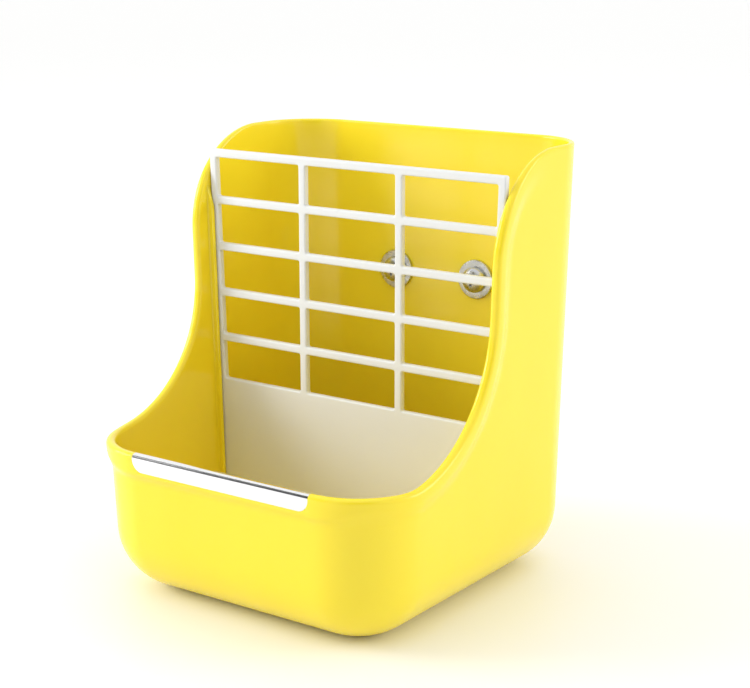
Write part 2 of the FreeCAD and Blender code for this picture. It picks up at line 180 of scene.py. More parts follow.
def apply_modifiers(piece):
    """Leaves a piece with the mesh that its modifiers make."""
    bpy.context.view_layer.update()
    graph = bpy.context.evaluated_depsgraph_get()
    mesh = bpy.data.meshes.new_from_object(piece.evaluated_get(graph))
    piece.modifiers.clear()
    piece.data = mesh


def boolean(piece, cutter, operation="DIFFERENCE"):
    modifier = piece.modifiers.new("cut", "BOOLEAN")
    modifier.operation = operation
    modifier.solver = "EXACT"
    modifier.object = cutter
    apply_modifiers(piece)
    bpy.data.objects.remove(cutter)


def joined(first, *others):
    """One object from several."""
    for other in others:
        work = bmesh.new()
        work.from_mesh(first.data)
        work.from_mesh(other.data)
        work.to_mesh(first.data)
        work.free()
        bpy.data.objects.remove(other)
    return first


def weighted_normals(piece):
    modifier = piece.modifiers.new("normals", "WEIGHTED_NORMAL")
    modifier.keep_sharp = True
    modifier.weight = 100
    return piece


def smoothstep(share):
    share = np.clip(share, 0.0, 1.0)
    return share * share * share * (share * (share * 6 - 15) + 10)


def arc(centre, radius, start, end, steps):
    """Points on an arc in a plane; angles in degrees."""
    return [(centre[0] + radius * math.cos(angle), centre[1] + radius * math.sin(angle))
            for angle in np.radians(np.linspace(start, end, steps + 1))]


def lathe(name, profile, place, segments=64, smooth_angle=35):
    """A turned piece about the Y axis through place. The profile is (radius, along) pairs, and a
    profile that starts and ends on the axis closes itself."""
    points = []
    ring = np.linspace(0, 2 * math.pi, segments, endpoint=False)
    for radius, along in profile:
        points += [(place[0] + radius * math.sin(a), place[1] + along, place[2] + radius * math.cos(a))
                   for a in ring]
    faces = grid_faces(len(profile), segments, closed=True)
    if profile[0] == profile[-1]:
        last = (len(profile) - 1) * segments
        points = points[:last]
        faces = [tuple(index % last for index in face) for face in faces]
    return mesh_object(name, points, faces, smooth_angle)


# ---------------------------------------------------------------- the shell's wall

def wall_point(turn, level, inset):
    """A point of the right half of the shell. turn runs from 0 at the middle of the front to 5 at the
    middle of the back, with one unit each for the front, its corner, the side, the back corner and
    the back. inset is measured inwards from the plain outer wall."""
    turn, level, inset = (np.asarray(values, float) for values in (turn, level, inset))
    side = HALF_WIDTH + SIDE_LEAN * level / HEIGHT
    front = -HALF_DEPTH - FRONT_LEAN * level / HEIGHT
    start, end = front + FRONT_CORNER, HALF_DEPTH - BACK_CORNER
    stretch = np.clip(np.floor(turn), 0, 4)
    share = turn - stretch
    angle = share * math.pi / 2
    front_round, back_round = FRONT_CORNER - inset, BACK_CORNER - inset
    x = np.select(
        [stretch == 0, stretch == 1, stretch == 2, stretch == 3],
        [share * (side - FRONT_CORNER), side - FRONT_CORNER + front_round * np.sin(angle), side - inset,
         side - BACK_CORNER + back_round * np.cos(angle)],
        (1 - share) * (side - BACK_CORNER))
    y = np.select(
        [stretch == 0, stretch == 1, stretch == 2, stretch == 3],
        [front + inset, start - front_round * np.cos(angle), start + share * (end - start),
         end + back_round * np.sin(angle)],
        HALF_DEPTH - inset)
    return np.stack([x, y, level], axis=-1)


def turn_of(y, level):
    """The turn at which the outer wall's side, or a corner beside it, is at y."""
    start = -HALF_DEPTH - FRONT_LEAN * level / HEIGHT + FRONT_CORNER
    end = HALF_DEPTH - BACK_CORNER
    if y < start:
        return 1 + math.acos(min((start - y) / FRONT_CORNER, 1.0)) / (math.pi / 2)
    if y > end:
        return 3 + math.asin(min((y - end) / BACK_CORNER, 1.0)) / (math.pi / 2)
    return 2 + (y - start) / (end - start)


class Station:
    """A place along the rim, with the line that the wall's mesh follows from there to the base."""

    def __init__(self, lip, base_turn, turn=None, level=None, spot=None, inward=None):
        self.lip = lip                  # whether the lip runs here
        self.turn, self.level = turn, level
        self.spot, self.inward = spot, inward
        self.base_turn = base_turn

    def at_depth(self, depth):
        """(turn, level) at a depth below the rim, measured square to the rim line."""
        if self.spot is None:
            return self.turn, self.level - depth
        y = self.spot[0] + self.inward[0] * depth
        level = self.spot[1] + self.inward[1] * depth
        return turn_of(y, level), level

    def descent(self, share):
        """(turn, level) on the way from the band's end, at share 0, to the base's curve, at 1."""
        start = np.array(self.at_depth(BAND_END))
        heading = (np.array(self.at_depth(BAND_END + 0.1)) - start) / 0.1
        end = np.array([self.base_turn, BOTTOM_RADIUS])
        drop = start[1] - end[1]
        first = start + heading * min(drop * 0.3, DESCENT_LEAD)
        second = end + np.array([0, drop * 0.5])
        rest = 1 - share
        return (start * rest ** 3 + first * 3 * rest ** 2 * share + second * 3 * rest * share ** 2
                + end * share ** 3)


def rim_stations():
    """Stations from the middle of the front to the middle of the back."""
    flat = HALF_WIDTH + SIDE_LEAN * BOWL_HEIGHT / HEIGHT - FRONT_CORNER
    strip_end = STRIP_HIGH.x / flat
    front = list(np.linspace(0, strip_end - 0.012, 26)) + [strip_end - 0.004, strip_end + 0.001]
    stations = [Station(1.0, turn, turn=turn, level=BOWL_HEIGHT) for turn in front]
    sweep_turn = turn_of(SWEEP_CENTRE[0], BOWL_HEIGHT)
    for turn in np.linspace(1, sweep_turn, 26, endpoint=False):
        stations.append(Station(1.0, turn, turn=turn, level=BOWL_HEIGHT))
    # where the mesh lines from each stretch of the side's rim meet the base's curve
    marks = [sweep_turn, 2.56, 2.70, 2.87, 3.0]
    for share in np.linspace(0, 1, 60, endpoint=False):
        angle = share * math.pi / 2
        inward = (math.sin(angle), -math.cos(angle))
        spot = (SWEEP_CENTRE[0] + SWEEP_RADIUS * inward[0], SWEEP_CENTRE[1] + SWEEP_RADIUS * inward[1])
        stations.append(Station(1.0, marks[0] + (marks[1] - marks[0]) * share, spot=spot, inward=inward))
    for share in np.linspace(0, 1, 14, endpoint=False):
        level = SWEEP_CENTRE[1] + (SHOULDER_CENTRE[1] - SWEEP_CENTRE[1]) * share
        stations.append(Station(1.0, marks[1] + (marks[2] - marks[1]) * share, spot=(EDGE_Y, level),
                                inward=(1.0, 0.0)))
    for share in np.linspace(0, 1, 36, endpoint=False):
        angle = share * math.pi / 2
        inward = (math.cos(angle), -math.sin(angle))
        spot = (SHOULDER_CENTRE[0] - SHOULDER_RADIUS * inward[0],
                SHOULDER_CENTRE[1] - SHOULDER_RADIUS * inward[1])
        stations.append(Station(1.0, marks[2] + (marks[3] - marks[2]) * share, spot=spot, inward=inward))
    end = HALF_DEPTH - BACK_CORNER
    for share in np.linspace(0, 1, 10, endpoint=False):
        y = SHOULDER_CENTRE[0] + (end - SHOULDER_CENTRE[0]) * share
        stations.append(Station(0.0, marks[3] + (marks[4] - marks[3]) * share, spot=(y, HEIGHT),
                                inward=(0.0, -1.0)))
    for turn in list(np.linspace(3, 4, 30, endpoint=False)) + list(np.linspace(4, 5, 18)):
        stations.append(Station(0.0, turn, turn=turn, level=HEIGHT))
    return stations


ARC_STEPS = 8
CURVE_STEPS = 18
WALL_STEPS = 28
BAND_STEPS = 18


def lip_share(depth, by_strip):
    """How much of the lip stands at a depth below the rim. by_strip is 1 beside the steel strip."""
    band = LIP_BAND + (STRIP_BAND - LIP_BAND) * by_strip
    soft = LIP_SOFT + (STRIP_SOFT - LIP_SOFT) * by_strip
    return 1 - float(smoothstep((depth - band + soft) / (2 * soft)))


def lip_room(station, depth):
    """How far the lip may stand out at a depth: full, or what its taper over the shoulder leaves."""
    if station.spot is None:
        return LIP_OUT if station.lip > 0 else 0.0
    y = station.spot[0] + station.inward[0] * depth
    level = station.spot[1] + station.inward[1] * depth
    end = SHOULDER_CENTRE[0]
    taper = SIDE_LEAN * (TAPER_END - level) / HEIGHT - LIP_SINK + LIP_OUT / SHOULDER_RADIUS * (end - y)
    # a smooth lesser of the two
    gap = taper - LIP_OUT
    return max((taper + LIP_OUT - math.sqrt(gap * gap + 0.05)) / 2, 0.0)


def rib_points(station):
    """The wall's section at a station: up the outside, over the rim and down the inside."""
    rows = []
    by_strip = 0.0 if station.turn is None else 1 - float(smoothstep((station.turn - 1) / 0.6))
    lip = lip_room(station, 0.0)
    rounding = RIM_ROUND + (LIP_ROUND - RIM_ROUND) * lip / LIP_OUT
    for angle in np.radians(np.linspace(90, 0, CURVE_STEPS, endpoint=False)):
        rows.append((station.base_turn, BOTTOM_RADIUS * (1 - math.sin(angle)),
                     BOTTOM_RADIUS * (1 - math.cos(angle)), (0, 0)))
    for share in np.linspace(1, 0, WALL_STEPS, endpoint=False):
        rows.append((*station.descent(share), 0.0, (0, 0)))
    for depth in np.linspace(BAND_END, rounding, BAND_STEPS, endpoint=False):
        out = lip_room(station, depth) * lip_share(depth, by_strip)
        rows.append((*station.at_depth(depth), -out, (-1, 0, depth)))
    for angle in np.radians(np.linspace(0, 90, ARC_STEPS + 1)):
        depth = rounding * (1 - math.sin(angle))
        out = lip_room(station, depth) * lip_share(depth, by_strip)
        rows.append((*station.at_depth(depth), -out + rounding * (1 - math.cos(angle)),
                     (-math.cos(angle), math.sin(angle), depth)))
    middle = (-lip + WALL) / 2
    rows.append((*station.at_depth(0.0), middle, (0, 1, 0)))
    for angle in np.radians(np.linspace(90, 0, ARC_STEPS + 1)):
        depth = rounding * (1 - math.sin(angle))
        rows.append((*station.at_depth(depth), WALL - rounding * (1 - math.cos(angle)),
                     (math.cos(angle), math.sin(angle), depth)))
    for depth in np.linspace(rounding, BAND_END, 8)[1:]:
        rows.append((*station.at_depth(depth), WALL, (1, 0, depth)))
    for share in np.linspace(0, 1, WALL_STEPS + 1)[1:]:
        rows.append((*station.descent(share), WALL, (0, 0)))
    inner_radius = BOTTOM_RADIUS - WALL
    for angle in np.radians(np.linspace(0, 90, CURVE_STEPS + 1)[1:]):
        rows.append((station.base_turn, BOTTOM_RADIUS - inner_radius * math.sin(angle),
                     BOTTOM_RADIUS - inner_radius * math.cos(angle), (0, 0)))
    return rows


def under_strip(point, side, depth):
    """Whether a point of the lip lies under the steel strip."""
    margin = 0.2
    reach = STRIP_HIGH.x - margin
    if abs(point[0]) > reach:
        return False
    if side > 0.5:
        return depth < STRIP_INNER - margin
    low = STRIP_HIGH.z - STRIP_LOW.z - margin
    over = abs(point[0]) - (reach - STRIP_CORNER)
    if over > 0:
        low -= STRIP_CORNER - math.sqrt(max(STRIP_CORNER ** 2 - over ** 2, 0.0))
    return depth < low


def shell_mesh():
    """The shell's skin as one closed sheet: rings round the shell, from the middle of its underside
    over the rim to the middle of its floor."""
    stations = rim_stations()
    half = []
    for station in stations:
        rows = rib_points(station)
        points = wall_point([row[0] for row in rows], [row[1] for row in rows], [row[2] for row in rows])
        if station.turn is not None and station.turn < 1:
            for point, row in zip(points, rows):
                facing = row[3]
                if len(facing) == 3 and under_strip(point, facing[0], facing[2]):
                    point[1] -= facing[0] * STRIP_SEAT
                    point[2] -= facing[1] * STRIP_SEAT
        half.append(points)
    mirrored = [points * np.array([-1, 1, 1]) for points in half[-2:0:-1]]
    rings = np.stack(half + mirrored, axis=1)
    middle = np.array([0, RINGS_CENTRE_Y, 0])
    first = [middle + (rings[0] - middle) * [share, share, 1] for share in BASE_RINGS]
    last = [middle + (rings[-1] - middle) * [share, share, 1] for share in BASE_RINGS[::-1]]
    rings = np.concatenate([np.stack(first), rings, np.stack(last)])
    rows, columns = rings.shape[:2]
    faces = grid_faces(rows, columns, closed=True)
    faces.append(tuple(range(columns))[::-1])
    faces.append(tuple((rows - 1) * columns + column for column in range(columns)))
    return mesh_object("feeder_shell", rings.reshape(-1, 3), faces)


def guide_path(top):
    """The inside of the shell in a plane across it: (x, z, outward x, outward z), from the right side
    down, across the floor and up the left side."""
    radius = BOTTOM_RADIUS - WALL
    right = []
    for level in np.linspace(top, BOTTOM_RADIUS, 30):
        right.append((HALF_WIDTH + SIDE_LEAN * level / HEIGHT - WALL, level, 1.0, 0.0))
    for angle in np.radians(np.linspace(0, 90, 21)[1:]):
        level = BOTTOM_RADIUS - radius * math.sin(angle)
        right.append((HALF_WIDTH + SIDE_LEAN * level / HEIGHT - BOTTOM_RADIUS + radius * math.cos(angle),
                      level, math.cos(angle), -math.sin(angle)))
    left = [(-x, z, -out_x, out_z) for x, z, out_x, out_z in right[::-1]]
    return right + left


def guide_rib(name, front, back):
    """A low rib along the guide path, with a rounded crest and a filleted root."""
    centre, half = (front + back) / 2, (back - front) / 2
    crest = GUIDE_CREST
    section = [(-half - GUIDE_FOOT, -GUIDE_ROOT)]
    section += [(-half - GUIDE_FOOT + x, y) for x, y in
                arc((0, GUIDE_FOOT), GUIDE_FOOT, -90, 0, 5)]
    section += arc((-half + crest, GUIDE_OUT - crest), crest, 180, 90, 5)
    section += [(-x, y) for x, y in section[::-1]]
    path = guide_path(GUIDE_TOP)
    points = []
    for number, (x, z, out_x, out_z) in enumerate(path):
        # the rib's two top ends run out into the wall
        from_end = min(number, len(path) - 1 - number)
        rise = float(smoothstep(from_end / 2))
        for along, out in section:
            height = (out * rise if out > 0 else out) - GUIDE_SINK
            points.append((x - out_x * height, centre + along, z - out_z * height))
    faces = grid_faces(len(path), len(section), closed=True)
    faces.append(tuple(range(len(section))))
    faces.append(tuple(len(points) - 1 - number for number in range(len(section))))
    return mesh_object(name, points, faces, 50)


def build_shell():
    shell = shell_mesh()
    for name in ("left", "right"):
        low, high = node_box(f"clamp_screw_{name}")
        centre = (low + high) / 2
        hole = lathe("hole", [(0.001, -8), (SCREW_HOLE, -8), (SCREW_HOLE, 8), (0.001, 8)],
                     (centre.x, HALF_DEPTH - WALL / 2, centre.z), 48)
        boolean(shell, hole)
    finish_mesh(shell, 48)
    front = GRILLE_LOW.y - GUIDE_GAP
    back = GRILLE_HIGH.y + GUIDE_GAP
    joined(shell, guide_rib("front_rib", front - GUIDE_THICK, front),
           guide_rib("back_rib", back, back + GUIDE_THICK))
    return shell


# ---------------------------------------------------------------- steel strip

def build_strip():
    """The folded sheet: outer face from the front flap's lower edge over the rim to the inner flap,
    then back along its inner face."""
    reach = STRIP_HIGH.x
    drop = STRIP_HIGH.z - STRIP_LOW.z
    across = np.concatenate([np.linspace(0, reach - STRIP_CORNER, 40),
                             reach - STRIP_CORNER * (1 - np.sin(np.radians(np.linspace(0, 90, 12)[1:])))])
    across = np.concatenate([-across[:0:-1], across])
    points = []
    for x in across:
        over = abs(x) - (reach - STRIP_CORNER)
        low = drop
        if over > 0:
            low -= STRIP_CORNER - math.sqrt(max(STRIP_CORNER ** 2 - over ** 2, 0.0))
        section = []
        for number, proud in enumerate((STRIP_PROUD, STRIP_PROUD - STRIP_THICK)):
            rounding = LIP_ROUND + proud
            face = [(-LIP_OUT - proud, depth) for depth in np.linspace(low, LIP_ROUND, 8, endpoint=False)]
            for angle in np.radians(np.linspace(0, 90, 13)):
                face.append((-LIP_OUT + LIP_ROUND - rounding * math.cos(angle),
                             LIP_ROUND - rounding * math.sin(angle)))
            for angle in np.radians(np.linspace(90, 0, 13)):
                face.append((WALL - LIP_ROUND + rounding * math.cos(angle),
                             LIP_ROUND - rounding * math.sin(angle)))
            face += [(WALL + proud, depth) for depth in np.linspace(LIP_ROUND, STRIP_INNER, 6)[1:]]
            section += face if number == 0 else face[::-1]
        for inset, depth in section:
            level = BOWL_HEIGHT - depth
            front = -HALF_DEPTH - FRONT_LEAN * level / HEIGHT
            points.append((x, front + inset, level))
    columns = len(points) // len(across)
    faces = grid_faces(len(across), columns, closed=True)
    faces.append(tuple(range(columns)))
    faces.append(tuple(len(points) - 1 - number for number in range(columns)))
    return mesh_object("steel_strip", points, faces, 50)


# ---------------------------------------------------------------- hay grille

def rounded_corner(before, corner, after, radius, steps):
    """Points that round one corner of an outline."""
    corner = np.array(corner, float)
    to_before = np.array(before, float) - corner
    to_after = np.array(after, float) - corner
    to_before /= np.linalg.norm(to_before)
    to_after /= np.linalg.norm(to_after)
    half = math.acos(float(np.clip(to_before @ to_after, -1, 1))) / 2
    middle = to_before + to_after
    middle /= np.linalg.norm(middle)
    centre = corner + middle * radius / math.sin(half)
    start = corner + to_before * radius / math.tan(half) - centre
    end = corner + to_after * radius / math.tan(half) - centre
    first = math.atan2(start[1], start[0])
    turn = (math.atan2(end[1], end[0]) - first + math.pi) % (2 * math.pi) - math.pi
    return [(centre[0] + radius * math.cos(first + turn * share),
             centre[1] + radius * math.sin(first + turn * share)) for share in np.linspace(0, 1, steps + 1)]


def rounded_outline(corners, radii, steps):
    count = len(corners)
    return [point for number in range(count)
            for point in rounded_corner(corners[number - 1], corners[number], corners[(number + 1) % count],
                                        radii[number], steps)]


def grille_half(level, inset=0.0):
    return HALF_WIDTH + SIDE_LEAN * level / HEIGHT - WALL - GRILLE_GAP - inset


def grille_outlines():
    """The grille's edge, then its windows, as closed outlines in X and Z."""
    top, foot = GRILLE_HIGH.z, GRILLE_LOW.z
    corner = BOTTOM_RADIUS - WALL
    outlines = [rounded_outline(
        [(-grille_half(top), top), (grille_half(top), top), (grille_half(foot), foot),
         (-grille_half(foot), foot)], (1.0, 1.0, corner, corner), 20)]
    window_top = top - BAR
    for row in range(ROWS):
        high = window_top - ROW_PITCH * row
        low = high - ROW_PITCH + BAR_HEIGHT
        inner, start = (BAR_PITCH - BAR) / 2, (BAR_PITCH + BAR) / 2
        windows = [[(-inner, low), (inner, low), (inner, high), (-inner, high)]]
        for side in (-1, 1):
            windows.append([(start * side, low), (grille_half(low, BAR) * side, low),
                            (grille_half(high, BAR) * side, high), (start * side, high)])
        outlines += [rounded_outline(window, [WINDOW_CORNER] * 4, 5) for window in windows]
    return outlines


def build_grille():
    """The plate with its windows, every edge rounded, made from one flat curve with holes."""
    curve = bpy.data.curves.new("grille_curve", "CURVE")
    curve.dimensions = "2D"
    curve.fill_mode = "BOTH"
    depth = GRILLE_HIGH.y - GRILLE_LOW.y
    curve.extrude = (depth / 2 - BAR_ROUND) * MM
    curve.bevel_depth = BAR_ROUND * MM
    curve.bevel_resolution = 3
    curve.offset = -BAR_ROUND * MM
    for outline in grille_outlines():
        spline = curve.splines.new("POLY")
        spline.points.add(len(outline) - 1)
        for point, (x, z) in zip(spline.points, outline):
            point.co = (x * MM, z * MM, 0, 1)
        spline.use_cyclic_u = True
    drawn = bpy.data.objects.new("grille_curve", curve)
    bpy.context.scene.collection.objects.link(drawn)
    bpy.context.view_layer.update()
    mesh = bpy.data.meshes.new_from_object(drawn.evaluated_get(bpy.context.evaluated_depsgraph_get()))
    bpy.data.objects.remove(drawn)
    mesh.transform(Matrix.Translation((0, (GRILLE_LOW.y + depth / 2) * MM, 0))
                   @ Matrix.Rotation(math.pi / 2, 4, "X"))
    grille = bpy.data.objects.new("hay_grille_moulding", mesh)
    bpy.context.scene.collection.objects.link(grille)
    finish_mesh(grille, 60)
    return weighted_normals(grille)


# ---------------------------------------------------------------- screws, washers and wing nuts

def thread_height(phase):
    """1 on a thread's crest and 0 in its root."""
    return np.clip((np.abs(phase - 0.5) * 2 - THREAD_FLAT) / (1 - 2 * THREAD_FLAT), 0, 1)


def screw_mesh(name, place, length):
    """A cross-recessed pan-head screw. Its head's seat is at place, and its thread runs towards +Y."""
    around, per_pitch = 48, 10
    ring = np.linspace(0, 2 * math.pi, around, endpoint=False)
    levels = np.arange(0.0, length + 0.001, PITCH / per_pitch)
    points = []
    for along in levels:
        phase = (along / PITCH - ring / (2 * math.pi)) % 1.0
        depth = THREAD_DEPTH * float(smoothstep(along / THREAD_RUN_IN))
        radius = SCREW_RADIUS - depth * (1 - thread_height(phase))
        radius = np.minimum(radius, SCREW_RADIUS - max(along - (length - TIP_CHAMFER), 0.0) * 0.9)
        points += [(place[0] + r * math.sin(a), place[1] + along, place[2] + r * math.cos(a))
                   for r, a in zip(radius, ring)]
    faces = grid_faces(len(levels), around, closed=True)
    faces.append(tuple(range(around)))
    faces.append(tuple(len(points) - 1 - number for number in range(around)))
    shank = mesh_object(f"{name}_shank", points, faces, 60)
    rise = HEAD_RISE
    profile = [(0.001, -rise), (1.5, -rise + 0.03), (3.0, -rise + 0.16), (4.2, -rise + 0.5),
               (5.0, -rise + 1.0), (5.6, -rise + 1.7), (5.9, -rise + 2.4), (HEAD_RADIUS, -rise + 3.0),
               (HEAD_RADIUS, -0.25), (5.85, -0.05), (5.6, 0.0), (0.001, 0.0)]
    head = lathe(name, profile, place, 72)
    for turned in (False, True):
        boolean(head, recess_wing(place, turned))
    finish_mesh(head, 35)
    return joined(head, shank)


def recess_wing(place, turned):
    """One slot of the head's cross recess, narrower and shorter towards its floor."""
    corners = []
    # its mouth, just above the head, and its floor: depth, half length and half width
    for depth, reach, half in ((-0.5, 3.1, 0.62), (2.2, 1.3, 0.45)):
        for u, v in ((-reach, -half), (reach, -half), (reach, half), (-reach, half)):
            u, v = (v, u) if turned else (u, v)
            corners.append((place[0] + u, place[1] - HEAD_RISE + depth, place[2] + v))
    faces = [(0, 1, 2, 3), (4, 5, 6, 7), (0, 1, 5, 4), (1, 2, 6, 5), (2, 3, 7, 6), (3, 0, 4, 7)]
    return mesh_object("recess", corners, faces)


def washer_mesh(name, place, radius, thick, hole):
    """A punched washer: rounded over on one face, with a crisper edge on the other."""
    soft, crisp = WASHER_SOFT, WASHER_CRISP
    profile = [(hole + crisp, 0.0)]
    profile += [(radius - soft + x, soft + y) for x, y in arc((0, 0), soft, -90, 0, 5)]
    profile += [(radius - crisp + x, thick - crisp + y) for x, y in arc((0, 0), crisp, 0, 90, 3)]
    profile += [(hole + crisp + x, thick - crisp + y) for x, y in arc((0, 0), crisp, 90, 180, 3)]
    profile += [(hole + crisp + x, crisp + y) for x, y in arc((0, 0), crisp, 180, 270, 3)]
    return lathe(name, profile, place, 96, 50)


def wing_nut_mesh(name, low, high):
    """A cast wing nut: a tapered boss with two wings, run together by a fine remesh."""
    place = ((low.x + high.x) / 2, low.y, (low.z + high.z) / 2)
    base, crown, rise = NUT_BASE, NUT_CROWN, NUT_RISE
    boss = lathe(name, [(0.001, 0.05), (base - 0.4, 0.05), (base, 0.45), (crown, rise - 0.5),
                        (crown - 0.6, rise), (0.001, rise)], place, 64)
    reach, top = high.x - place[0] - 0.1, high.y - low.y - 0.1
    outline = [(3.6, 0.9), (base - 0.4, 0.9), (base + 1.6, 1.9), (reach - 2.6, top - 8.4)]
    outline += arc((reach - WING_TIP, top - WING_TIP), WING_TIP, -20, 150, 10)
    outline += [(crown + 2.4, rise + 0.9), (3.6, rise - 0.5)]
    centre = np.mean(outline, axis=0)
    # across the wing's thickness: place, and share of the full outline
    layers = ((-1.25, 0.82), (-0.95, 0.95), (0.0, 1.0), (0.95, 0.95), (1.25, 0.82))
    for side in (1, -1):
        points = []
        for across, scale in layers:
            for x, y in (centre + (np.array(outline) - centre) * scale):
                points.append((place[0] + x * side, place[1] + y, place[2] + across))
        faces = grid_faces(len(layers), len(outline), closed=True)
        faces.append(tuple(range(len(outline))))
        faces.append(tuple(len(points) - 1 - number for number in range(len(outline))))
        boolean(boss, mesh_object("wing", points, faces), "UNION")
    bore = lathe("bore", [(0.001, -2), (NUT_BORE, -2), (NUT_BORE, 12), (0.001, 12)], place, 48)
    boolean(boss, bore)
    remesh = boss.modifiers.new("cast", "REMESH")
    remesh.mode = "VOXEL"
    remesh.voxel_size = CAST_VOXEL * MM
    smooth = boss.modifiers.new("soft", "SMOOTH")
    smooth.factor = 0.5
    smooth.iterations = 10
    apply_modifiers(boss)
    finish_mesh(boss)
    return boss


# ---------------------------------------------------------------- materials

def new_material(name):
    material = bpy.data.materials.new(name)
    material.use_nodes = True
    tree = material.node_tree
    shader = tree.nodes["Principled BSDF"]
    return material, tree, shader


def add(tree, kind, **sockets):
    """A node with its inputs set: a number or colour sets a socket, a socket links to it."""
    node = tree.nodes.new(kind)
    for name, value in sockets.items():
        socket = node.inputs[name.replace("_", " ")]
        if isinstance(value, bpy.types.NodeSocket):
            tree.links.new(value, socket)
        else:
            socket.default_value = value
    return node


def spread(tree, value, low, high, from_low=0.3, from_high=0.7):
    """A noise value spread between two numbers."""
    node = add(tree, "ShaderNodeMapRange", Value=value, From_Min=from_low, From_Max=from_high, To_Min=low,
               To_Max=high)
    return node.outputs["Result"]


def noise(tree, place, scale, detail=4.0, stretch=None):
    vector = place
    if stretch is not None:
        mapping = add(tree, "ShaderNodeMapping", Vector=place)
        mapping.inputs["Scale"].default_value = stretch
        vector = mapping.outputs["Vector"]
    node = add(tree, "ShaderNodeTexNoise", Vector=vector, Scale=scale, Detail=detail)
    return node.outputs["Fac"]


def between(tree, share, first, second):
    """A colour mixed from two."""
    node = tree.nodes.new("ShaderNodeMix")
    node.data_type = "RGBA"
    tree.links.new(share, node.inputs["Factor"])
    # the colour sockets come after the number and vector sockets of the same names
    node.inputs[6].default_value = (*first, 1)
    node.inputs[7].default_value = (*second, 1)
    return node.outputs[2]


def bump(tree, shader, *layers):
    """Stacks bump layers, each (height, strength, distance in millimetres)."""
    normal = None
    for height, strength, distance in layers:
        node = add(tree, "ShaderNodeBump", Height=height, Strength=strength, Distance=distance * MM)
        if normal is not None:
            tree.links.new(normal, node.inputs["Normal"])
        normal = node.outputs["Normal"]
    tree.links.new(normal, shader.inputs["Normal"])


def yellow_plastic():
    """Glossy moulded plastic: faint flow in its colour, orange peel and fine handling marks."""
    material, tree, shader = new_material("yellow_plastic")
    place = tree.nodes.new("ShaderNodeTexCoord").outputs["Object"]
    flow = noise(tree, place, 14.0, 5.0, stretch=(1.0, 1.0, 0.35))
    colour = between(tree, spread(tree, flow, 0.0, 1.0), (0.90, 0.715, 0.022), (0.94, 0.755, 0.032))
    tree.links.new(colour, shader.inputs["Base Color"])
    marks = noise(tree, place, 55.0, 8.0, stretch=(1.0, 1.0, 5.0))
    tree.links.new(spread(tree, marks, 0.13, 0.24), shader.inputs["Roughness"])
    peel = noise(tree, place, 420.0, 2.0)
    ripple = noise(tree, place, 38.0, 2.0)
    bump(tree, shader, (ripple, 0.12, 0.35), (peel, 0.05, 0.06))
    shader.inputs["IOR"].default_value = 1.5
    shader.inputs["Subsurface Weight"].default_value = 0.12
    shader.inputs["Subsurface Radius"].default_value = (0.004, 0.0028, 0.0008)
    shader.inputs["Subsurface Scale"].default_value = 1.0
    return material


def white_plastic():
    """Semi-gloss white plastic with a faintly grained mould surface."""
    material, tree, shader = new_material("white_plastic")
    place = tree.nodes.new("ShaderNodeTexCoord").outputs["Object"]
    cloud = noise(tree, place, 22.0, 4.0)
    colour = between(tree, spread(tree, cloud, 0.0, 1.0), (0.72, 0.735, 0.735), (0.74, 0.755, 0.755))
    tree.links.new(colour, shader.inputs["Base Color"])
    tree.links.new(spread(tree, noise(tree, place, 90.0, 6.0), 0.30, 0.36), shader.inputs["Roughness"])
    bump(tree, shader, (noise(tree, place, 900.0, 3.0), 0.10, 0.05))
    shader.inputs["Subsurface Weight"].default_value = 0.15
    shader.inputs["Subsurface Radius"].default_value = (0.003, 0.003, 0.0025)
    shader.inputs["Subsurface Scale"].default_value = 1.0
    return material


def polished_steel():
    """Bright stainless sheet with fine rolling lines along its length."""
    material, tree, shader = new_material("polished_steel")
    place = tree.nodes.new("ShaderNodeTexCoord").outputs["Object"]
    lines = noise(tree, place, 600.0, 6.0, stretch=(0.02, 1.0, 1.0))
    smudge = noise(tree, place, 45.0, 4.0)
    colour = between(tree, spread(tree, smudge, 0.0, 1.0), (0.83, 0.84, 0.85), (0.90, 0.90, 0.90))
    tree.links.new(colour, shader.inputs["Base Color"])
    tree.links.new(spread(tree, lines, 0.06, 0.16), shader.inputs["Roughness"])
    bump(tree, shader, (noise(tree, place, 30.0, 1.0), 0.15, 0.25), (lines, 0.04, 0.02))
    shader.inputs["Metallic"].default_value = 1.0
    return material


def zinc_steel():
    """Bright zinc plate over steel, a little cloudy, with fine tool marks."""
    material, tree, shader = new_material("zinc_steel")
    place = tree.nodes.new("ShaderNodeTexCoord").outputs["Object"]
    cloud = noise(tree, place, 260.0, 5.0)
    colour = between(tree, spread(tree, cloud, 0.0, 1.0), (0.55, 0.57, 0.60), (0.72, 0.73, 0.73))
    tree.links.new(colour, shader.inputs["Base Color"])
    tree.links.new(spread(tree, noise(tree, place, 700.0, 6.0), 0.22, 0.42), shader.inputs["Roughness"])
    bump(tree, shader, (noise(tree, place, 1500.0, 4.0), 0.12, 0.03))
    shader.inputs["Metallic"].default_value = 1.0
    return material


# ---------------------------------------------------------------- the assembly

def place_piece(piece, body, material, node):
    piece.data.materials.clear()
    piece.data.materials.append(material)
    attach(piece, body)
    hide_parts(node)


